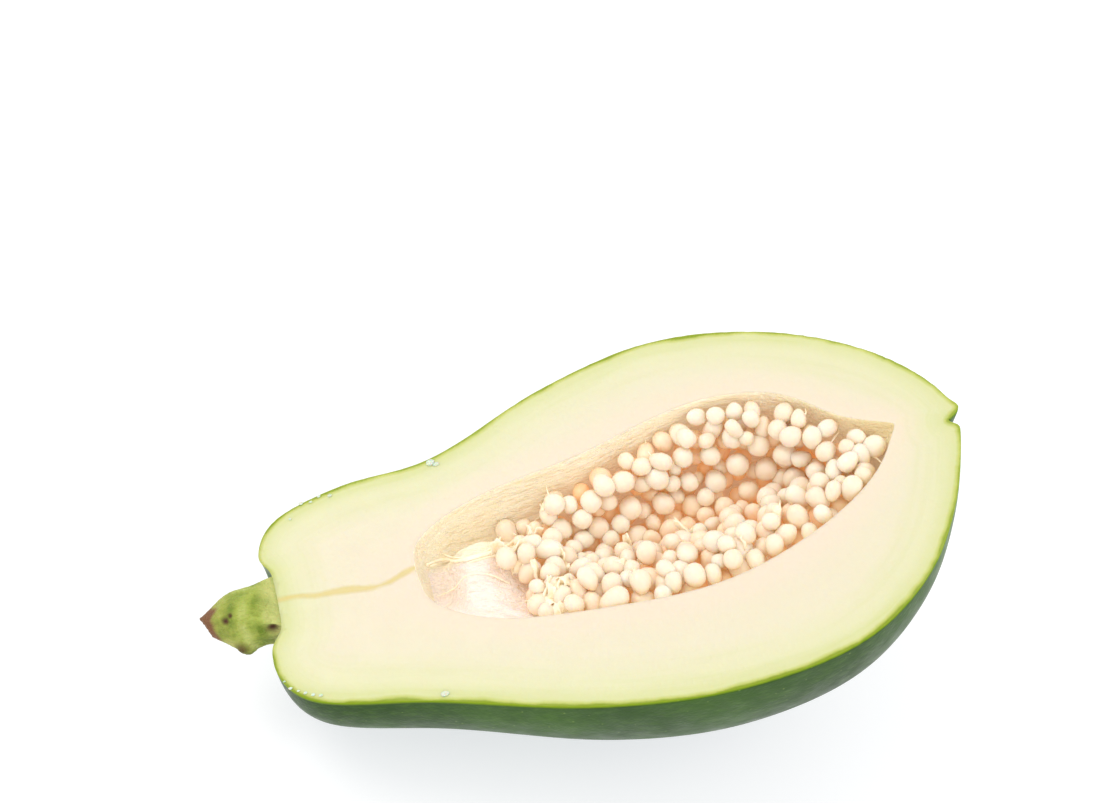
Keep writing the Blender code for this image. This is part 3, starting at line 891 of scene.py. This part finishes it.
def throw_seeds():
    """Places and radii, of which the first are the single seeds."""
    places = [centre for _, centre, _ in single]
    radii = [SINGLE_RADIUS] * len(places)
    for _ in range(THROWS):
        point = Vector([chance.uniform(low, high) for low, high in zip(THROW_LOW, THROW_HIGH)])
        radius = chance.triangular(SMALLEST, LARGEST, USUAL)
        here = np.array([list(place) for place in places]) - np.array(list(point))
        room = np.linalg.norm(here, axis=1) - ROOM * (np.array(radii) + radius)
        if room.min() >= 0 and inside_hollow(point, radius) and 0 < burial(point) < BURIAL:
            places.append(point)
            radii.append(radius)
    return places, radii


def settle(places, radii):
    """Pushes the thrown seeds apart, off the wall and under the cut."""
    spots = np.array([list(place) for place in places])
    sizes = np.array(radii)
    fixed = len(single)
    for _ in range(SETTLING_STEPS):
        apart = spots[:, None] - spots[None]
        distance = np.linalg.norm(apart, axis=2) + 1e-9
        lack = np.clip(TOUCHING * (sizes[:, None] + sizes[None]) - distance, 0, None)
        np.fill_diagonal(lack, 0)
        push = (apart / distance[:, :, None] * lack[:, :, None]).sum(axis=1) * PUSH
        spots[fixed:] += push[fixed:]
        for index in range(fixed, len(spots)):
            point = Vector(spots[index])
            spot, normal, _, _ = shaped_lining.find_nearest(point)
            lift = 0.85 * sizes[index] - (point - spot).dot(normal)
            if lift > 0:
                point += normal * lift
            point.z = min(point.z, -0.3 * MM - 0.6 * sizes[index])
            spots[index] = list(point)
    return [Vector(spot) for spot in spots]


places, radii = throw_seeds()
places = settle(places, radii)
print(len(places) - len(single), "more seeds in the heap")

# %% [markdown]
# A seed is ivory and glossy, with light scattering well into it. Its underside, facing into the heap, is
# painted warmer as painted shade, and seeds deep in the heap or down in the fold are painted the colour of
# apricots, as painted shade for light that has passed through others. They are also given a faint painted
# glow in that colour.

# %% Seed finish
def make_seed_finish():
    """Ivory seeds, with painted shade that makes them warmer underneath and where they are buried, and a
    painted glow.
    """
    # the emission is a painted glow, apricot for seeds deep in the heap
    material, tree, shader = new_material(
        "wet_seed", Emission_Strength=0.17, IOR=1.4, Specular_IOR_Level=0.5, Coat_Weight=0.2,
        Coat_Roughness=0.12, Subsurface_Weight=0.45, Subsurface_Scale=0.003,
        Subsurface_Radius=(1.0, 0.55, 0.28))
    place = face_place(tree)
    buried_shade = attribute(tree, "buried_shade")
    pale = mixed(tree, attribute(tree, "tint"), tone(250, 228, 203), tone(252, 238, 219))
    cloud = between(tree, cloudy(tree, place, 420.0, 3.0), 0.45, 0.75, 0.0, 0.35)
    clouded = mixed(tree, cloud, pale, tone(253, 232, 204))
    # painted shade: the underside is mixed towards a warmer, darker tone
    under = between(tree, attribute(tree, "under"), 0.28, 0.85, 0.0, 0.7)
    painted_underside_shade = mixed(tree, under, clouded, tone(250, 212, 160))
    # painted shade: seeds deep in the heap turn apricot, and glow with it as painted light
    deep = mixed(tree, between(tree, buried_shade, 0.4, 1.0, 0.0, 0.6), painted_underside_shade, tone(248, 186, 116))
    painted_glow = mixed(tree, between(tree, buried_shade, 0.2, 1.0), (0, 0, 0, 1), tone(255, 192, 118))
    feed(tree, shader, Base_Color=deep, Emission_Color=painted_glow)
    bumped(tree, shader, grained(tree, shader, place, 700.0, 0.2, 0.4), 0.05 * MM)
    return material

# %% Make the seeds
# seeds in the fold between these heights get painted shade
FOLD_TOP, FOLD_BOTTOM = -13 * MM, -30 * MM
FLOOR_FROM, NEAR_FROM = 62, 116  # degrees round the wall, where the floor's bed and the near one start


def painted_shade_depth(point):
    """The amount of painted shade and glow: 0 on top of the heap in good light, up to 1 deep in it or down
    in the fold.
    """
    under_others = min(burial(point) / BURIAL, (-point.z - 3 * MM) / BURIAL)
    fold_shade = (FOLD_TOP - point.z) / (FOLD_TOP - FOLD_BOTTOM)
    return clamped(max(under_others, fold_shade))


wet_seed = make_seed_finish()
for name, centre, axis in single:
    one = bmesh.new()
    length, width = chance.uniform(7.2, 8.8) * MM, chance.uniform(5.9, 7.0) * MM
    add_seed(one, centre, axis, length, width, painted_shade_depth(centre))
    made_piece("loose_" + name, one, [wet_seed], [name])

beds = {name: bmesh.new() for name in ("seed_bed_far", "seed_bed_floor", "seed_bed_near")}
for centre, radius in list(zip(places, radii))[len(single):]:
    around = round_the_wall(centre)
    bed = "far" if around < FLOOR_FROM else "floor" if around < NEAR_FROM else "near"
    spot = shaped_lining.find_nearest(centre)[0]
    axis = ((centre - spot).normalized() + Vector((0, 0, 0.5)) + scattered(0.8)).normalized()
    length, width = radius * chance.uniform(2.1, 2.7), radius * chance.uniform(1.7, 1.95)
    add_seed(beds["seed_bed_" + bed], centre, axis, length, width, painted_shade_depth(centre))
for name, bed in beds.items():
    print(name, len(bed.faces), "faces")
    made_piece("heap_" + name, bed, [wet_seed], [name])

# %% [markdown]
# ## Pulp
# Threads of dried pulp run from the neck over the far wall to the first seeds, and short ones hold single
# seeds. Between the first seeds and along the near bank stand torn bits of the skin that the seeds grew on.
# The threads are round tubes along smooth curves; the torn bits are small grids, bent and given a
# thickness.

# %% Threads
THREAD = 0.36 * MM
NECK_THREADS = [  # (mm along, degrees round) of both ends, then thickness in threads
    ((-55, 41), (-17, 46), 1.6), ((-54, 45), (-20, 49), 1.3), ((-50, 37), (-20, 41), 0.8),
    ((-46, 52), (-26, 54), 1.0), ((-38, 48), (-12, 30), 0.7), ((-54, 96), (-33, 124), 0.8)]
SWAY = 2.0  # degrees
NECK_SEEDS = -12 * MM  # the seeds before this all hang on threads, and some of the others do
THREADED_SHARE = 0.12


def on_wall(x, around, lift):
    """A point on the hollow's wall, x along it and around in degrees, lifted off it."""
    middle, half_width, depth = hollow_section(x)
    angle = math.radians(around)
    inside = Vector((x, middle, JUST_BELOW))
    across = Vector((0, math.cos(angle) * half_width, -math.sin(angle) * depth)).normalized()
    spot, normal = shaped_lining.ray_cast(inside, across)[:2]
    return spot + (normal if normal.dot(across) < 0 else -normal) * lift


def add_thread(bm, points, thickness):
    """A tube along a smooth curve through the points, thinner towards its ends."""
    curve = bpy.data.curves.new("thread", "CURVE")
    curve.dimensions = "3D"
    curve.bevel_depth = thickness
    curve.bevel_resolution = 1
    curve.resolution_u = 4
    curve.use_fill_caps = True
    spline = curve.splines.new("BEZIER")
    spline.bezier_points.add(len(points) - 1)
    for index, (knot, point) in enumerate(zip(spline.bezier_points, points)):
        knot.co = point
        knot.handle_left_type = knot.handle_right_type = "AUTO"
        knot.radius = 0.45 + 0.55 * math.sin(math.pi * (index + 0.5) / len(points))
    tube = placed("thread", curve)
    mesh = bpy.data.meshes.new_from_object(tube.evaluated_get(bpy.context.evaluated_depsgraph_get()))
    bm.from_mesh(mesh)
    bpy.data.objects.remove(tube)
    bpy.data.curves.remove(curve)
    bpy.data.meshes.remove(mesh)


def wall_thread(bm, start, end, thickness):
    """A thread over the wall between two (mm along, degrees round) places."""
    steps = max(3, round(abs(end[0] - start[0]) / 5))
    points = []
    for step in range(steps + 1):
        share = step / steps
        x = (start[0] + (end[0] - start[0]) * share) * MM
        around = start[1] + (end[1] - start[1]) * share + chance.uniform(-SWAY, SWAY)
        points.append(on_wall(x, around, chance.uniform(0.1, 0.9) * thickness))
    add_thread(bm, points, thickness)


pulp = bmesh.new()
for start, end, size in NECK_THREADS:
    wall_thread(pulp, start, end, size * THREAD)
for centre in places:
    if centre.x < NECK_SEEDS or chance.random() < THREADED_SHARE:
        foot, normal = shaped_lining.find_nearest(centre)[:2]
        halfway = (foot + centre) / 2 + scattered(1.0) * MM
        add_thread(pulp, [foot + normal * 0.2 * MM, halfway, centre], 0.7 * THREAD)
print("pulp:", len(pulp.faces), "faces of thread")

# %% Torn bits
SCRAP_THICKNESS = 0.35 * MM
TOP_SEEDS = 3.5 * MM  # seeds no deeper in the heap than this can have a scrap beside them


def add_torn_bit(bm, centre, upward, length, width):
    """A bent, ragged scrap that stands on its narrow side."""
    scrap = bmesh.new()
    bmesh.ops.create_grid(scrap, x_segments=6, y_segments=4, size=0.5)
    origin = anywhere()
    for vert in scrap.verts:
        ragged = 1 + 0.45 * noise.noise(vert.co * 3 + origin)
        x, y = vert.co.x * width * ragged, vert.co.y * length * ragged
        bend = 0.35 * width * math.cos(math.pi * vert.co.x) + 0.6 * MM * noise.noise(vert.co * 4 - origin)
        vert.co = Vector((x, bend, y))
    bmesh.ops.recalc_face_normals(scrap, faces=scrap.faces)
    everything = scrap.faces[:] + scrap.edges[:] + scrap.verts[:]
    bmesh.ops.solidify(scrap, geom=everything, thickness=SCRAP_THICKNESS)
    bmesh.ops.recalc_face_normals(scrap, faces=scrap.faces)
    spin = Matrix.Rotation(chance.uniform(0, 2 * math.pi), 4, "Z")
    stand = Vector((0, 0, 1)).rotation_difference(upward).to_matrix().to_4x4()
    bmesh.ops.transform(scrap, matrix=Matrix.Translation(centre) @ stand @ spin, verts=scrap.verts)
    mesh = as_mesh("scrap", scrap)
    bm.from_mesh(mesh)
    bpy.data.meshes.remove(mesh)


def scatter_torn_bits(bm, chosen):
    """A scrap beside each chosen seed, level with its top."""
    for centre, radius in chosen:
        outward = (centre - shaped_lining.find_nearest(centre)[0]).normalized() + Vector((0, 0, 0.6))
        aside = Vector((chance.uniform(-1, 1), chance.uniform(-1, 1), 0)).normalized() * radius
        upward = (outward + scattered(0.5)).normalized()
        root = centre + aside + upward * 0.4 * radius
        length = chance.uniform(3.5, 6.5) * MM
        root.z = min(root.z, -0.3 * MM - length / 2)
        add_torn_bit(bm, root, upward, length, chance.uniform(2, 4) * MM)


top_seeds = [(centre, radius) for centre, radius in zip(places, radii) if burial(centre) < TOP_SEEDS]
at_neck = [seed for seed in top_seeds if seed[0].x < -16 * MM]
scatter_torn_bits(pulp, at_neck)
near_bank = [seed for seed in top_seeds if seed[0].y < -4 * MM and chance.random() < 0.3]
scatter_torn_bits(pulp, near_bank)
print("pulp:", len(pulp.faces), "faces with the torn bits")

# %% Pulp finish
def make_pulp_finish():
    """Pale fibre, streaked along the fruit, with a faint painted glow."""
    # the emission is a faint painted glow, which keeps the thin fibre light
    material, tree, shader = new_material(
        "pulp_fibre", IOR=1.38, Specular_IOR_Level=0.4, Emission_Color=tone(255, 226, 180),
        Emission_Strength=0.12)
    place = face_place(tree)
    streaks = streaks_of(tree, place, 800.0, 3.0)
    feed(tree, shader, Base_Color=mixed(tree, streaks, tone(255, 240, 200), tone(255, 252, 238)))
    grained(tree, shader, place, 1500.0, 0.25, 0.5)
    bumped(tree, shader, streaks, 0.15 * MM)
    return material


made_piece("pulp_threads", pulp, [make_pulp_finish()], [])

# %% [markdown]
# ## Stalk
# The stub of stalk is knobbly: green and fibrous by the fruit, dried brown at its broken end, with a dark
# pointed nub where a neighbour broke away, small sunken scars, and a pit where it meets the fruit. The
# model's stub is smoothed, then dented and raised at named places; two attributes mark what is dry and what
# is dark.

# %% Shape the stalk
KNOBS = [  # place in mm on the cut face's axes, then radius and height in mm; a negative height is a dent
    ((-103, 6.1, 3.0), 2.2, 0.7), ((-106, 0.6, 3.4), 3.0, 0.5), ((-102.5, -2.2, 1.6), 1.8, 0.9),
    ((-112.3, -0.2, 1.8), 1.3, -0.7), ((-110.5, 0.5, 2.9), 0.9, -0.4), ((-100.8, -4.8, -0.8), 1.6, -1.5),
    ((-110.4, -7.2, -5.6), 1.8, 1.4), ((-109.2, -4.3, -1.3), 0.9, 0.4), ((-105, -5.8, -6), 2.6, 0.5),
    ((-115, 2, 1.5), 1.6, 0.4), ((-108, 0, -13), 2.5, 0.6), ((-106, 9, -11), 2.2, 0.7),
    ((-112, 6, -11), 2.0, 0.5)]
DARK_SPOTS = [((-110.4, -6.9, -4.8), 2.7), ((-110.3, -8.6, -8.0), 3.0), ((-100.8, -4.9, -0.9), 1.6),
              ((-112.3, -0.2, 1.8), 1.3), ((-110.5, 0.5, 2.9), 0.9)]
FLARE = 0.14  # how much wider the stub is where it leaves the fruit
ROOT_PUSH = 1.8 * MM  # how far its foot is pushed into the fruit
TIP_START, TIP_END = -111 * MM, -119.5 * MM  # the stub narrows to a blunt point between these
TIP_CENTRE = Vector((0, 5.0, -4.4)) * MM
TIP_NARROWING = 0.52
DRY_FROM, DRY_WANDER = -114.6 * MM, 2.4 * MM  # where the dried end starts, on average


def narrowed(point):
    """The point drawn towards the middle of the stub's broken end."""
    share = clamped((point.x - TIP_START) / (TIP_END - TIP_START))
    centre = Vector((point.x, TIP_CENTRE.y, TIP_CENTRE.z))
    return centre + (point - centre) * (1 - TIP_NARROWING * share * share)


def rooted(point):
    """The stub's foot flared and pushed into the fruit, and its top brought down to the cut."""
    share = smooth_share(point.x, -104 * MM, -98 * MM)
    middle = Vector((point.x, 3.0 * MM, -5.0 * MM))
    point = middle + (point - middle) * (1 + FLARE * share)
    point.x += ROOT_PUSH * share
    ceiling = 0.6 * MM - 1.4 * MM * smooth_share(point.x, -102 * MM, -97 * MM)
    if point.z > ceiling:
        point.z += (ceiling - point.z) * smooth_share(point.x, -107 * MM, -99 * MM)
    return point


def shape_stalk():
    """The model's stub, smoothed and marked, with its two attributes."""
    stalk = merged_copy("stalk")
    bmesh.ops.transform(stalk, matrix=to_face, verts=stalk.verts)
    bmesh.ops.join_triangles(stalk, faces=stalk.faces, angle_face_threshold=math.radians(30),
                             angle_shape_threshold=math.radians(60))
    crease = stalk.edges.layers.float.new("crease_edge")
    for edge in stalk.edges:
        edge[crease] = 0.7 if edge.calc_face_angle(0.0) > math.radians(50) else 0.0
    stalk = subdivided(stalk, 3)
    dry = stalk.verts.layers.float.new("dry")
    dark = stalk.verts.layers.float.new("dark")
    for vert in stalk.verts:
        start = vert.co.copy()
        raised = sum(height * bump_at((start - Vector(place) * MM).length, 0.0, radius * MM)
                     for place, radius, height in KNOBS)
        lengthwise = Vector((start.x * 60, start.y * 500, start.z * 500))
        raised += 0.35 * noise.noise(lengthwise) + 0.15 * noise.noise(start * 1400)
        vert.co = rooted(narrowed(start + vert.normal * raised * MM))
        edge_of_dry = DRY_FROM + DRY_WANDER * noise.noise(start * 260)
        vert[dry] = clamped((edge_of_dry - start.x) / (1.6 * MM))
        vert[dark] = max(bump_at((start - Vector(place) * MM).length, 0.0, radius * MM)
                         for place, radius in DARK_SPOTS)
    print("stalk:", len(stalk.faces), "faces")
    return stalk

# %% Stalk finish
def make_stalk_finish():
    """Green fibrous rind, dried and darkened by the attributes."""
    material, tree, shader = new_material(
        "stalk_rind", IOR=1.45, Specular_IOR_Level=0.4, Subsurface_Weight=0.12, Subsurface_Scale=0.002)
    place = face_place(tree)
    x = axes_of(tree, place)["X"]
    patches = cloudy(tree, place, 190.0, 5.0)
    greens = colour_steps(tree, patches, [
        (0.32, tone(116, 138, 36)), (0.5, tone(164, 178, 74)), (0.68, tone(192, 198, 112))])
    fibres = streaks_of(tree, place, 900.0, 5.0)
    fibrous = mixed(tree, between(tree, fibres, 0.4, 1.0, 0.0, 0.45), greens, tone(140, 150, 62))
    browner = between(tree, x, -108 * MM, -118 * MM, 0.0, 0.6)
    weathered = mixed(tree, calculated(tree, "MULTIPLY", browner, patches), fibrous, tone(150, 116, 58))
    paler = between(tree, x, -103 * MM, -98 * MM, 0.0, 0.75)
    weathered = mixed(tree, paler, weathered, tone(206, 206, 128))
    dried = mixed(tree, attribute(tree, "dry"), weathered, tone(126, 84, 50))
    darkened = mixed(tree, between(tree, attribute(tree, "dark"), 0.22, 0.95), dried, tone(80, 44, 22))
    feed(tree, shader, Base_Color=darkened)
    grain = grained(tree, shader, place, 1300.0, 0.45, 0.7)
    relief = calculated(tree, "ADD", calculated(tree, "MULTIPLY", fibres, 1.5), grain)
    bumped(tree, shader, relief, 0.25 * MM)
    return material


made_piece("stalk_stub", shape_stalk(), [make_stalk_finish()], ["stalk"])

# %% [markdown]
# ## Latex
# A cut green papaya bleeds a white milk, which dries in small beads along the rim. Each bead is a small
# ball that is dented and squashed, and they are one piece.

# %% Beads of latex
BEADS = [  # x, y and radius in mm
    (-46.3, 34.0, 1.1), (-44.8, 33.0, 0.8), (-85.2, 32.4, 0.55), (-82.4, 32.0, 0.45), (-79.8, 33.2, 0.5),
    (-76.6, 32.4, 0.5), (-89.1, 28.2, 0.4), (-57.0, -40.0, 1.0), (-97.9, -25.6, 0.45), (-95.9, -27.0, 0.4),
    (-94.1, -28.2, 0.5), (-92.1, -29.4, 0.45), (-90.1, -30.2, 0.5), (-99.2, -23.0, 0.35)]


def make_latex():
    """All the beads, as one piece."""
    beads = bmesh.new()
    for x, y, radius in BEADS:
        place = Matrix.Translation(Vector((x, y, 0.15)) * MM)
        made = bmesh.ops.create_icosphere(beads, subdivisions=2, radius=radius * MM, matrix=place)
        centre = place.translation
        for vert in made["verts"]:
            offset = vert.co - centre
            offset *= 1 + 0.35 * noise.noise(vert.co * 700)
            vert.co = centre + Vector((offset.x * 1.3, offset.y * 0.9, offset.z * 0.35))
    material, tree, shader = new_material(
        "dried_latex", IOR=1.4, Specular_IOR_Level=0.5, Coat_Weight=0.4, Subsurface_Weight=0.5,
        Subsurface_Scale=0.002)
    grain = grained(tree, shader, face_place(tree), 1200.0, 0.15, 0.4)
    milky = mixed(tree, between(tree, grain, 0.4, 1.2), tone(226, 230, 218), tone(206, 214, 188))
    feed(tree, shader, Base_Color=milky)
    bumped(tree, shader, grain, 0.08 * MM)
    made_piece("latex_beads", beads, [material], [])


make_latex()
print("all pieces are made")
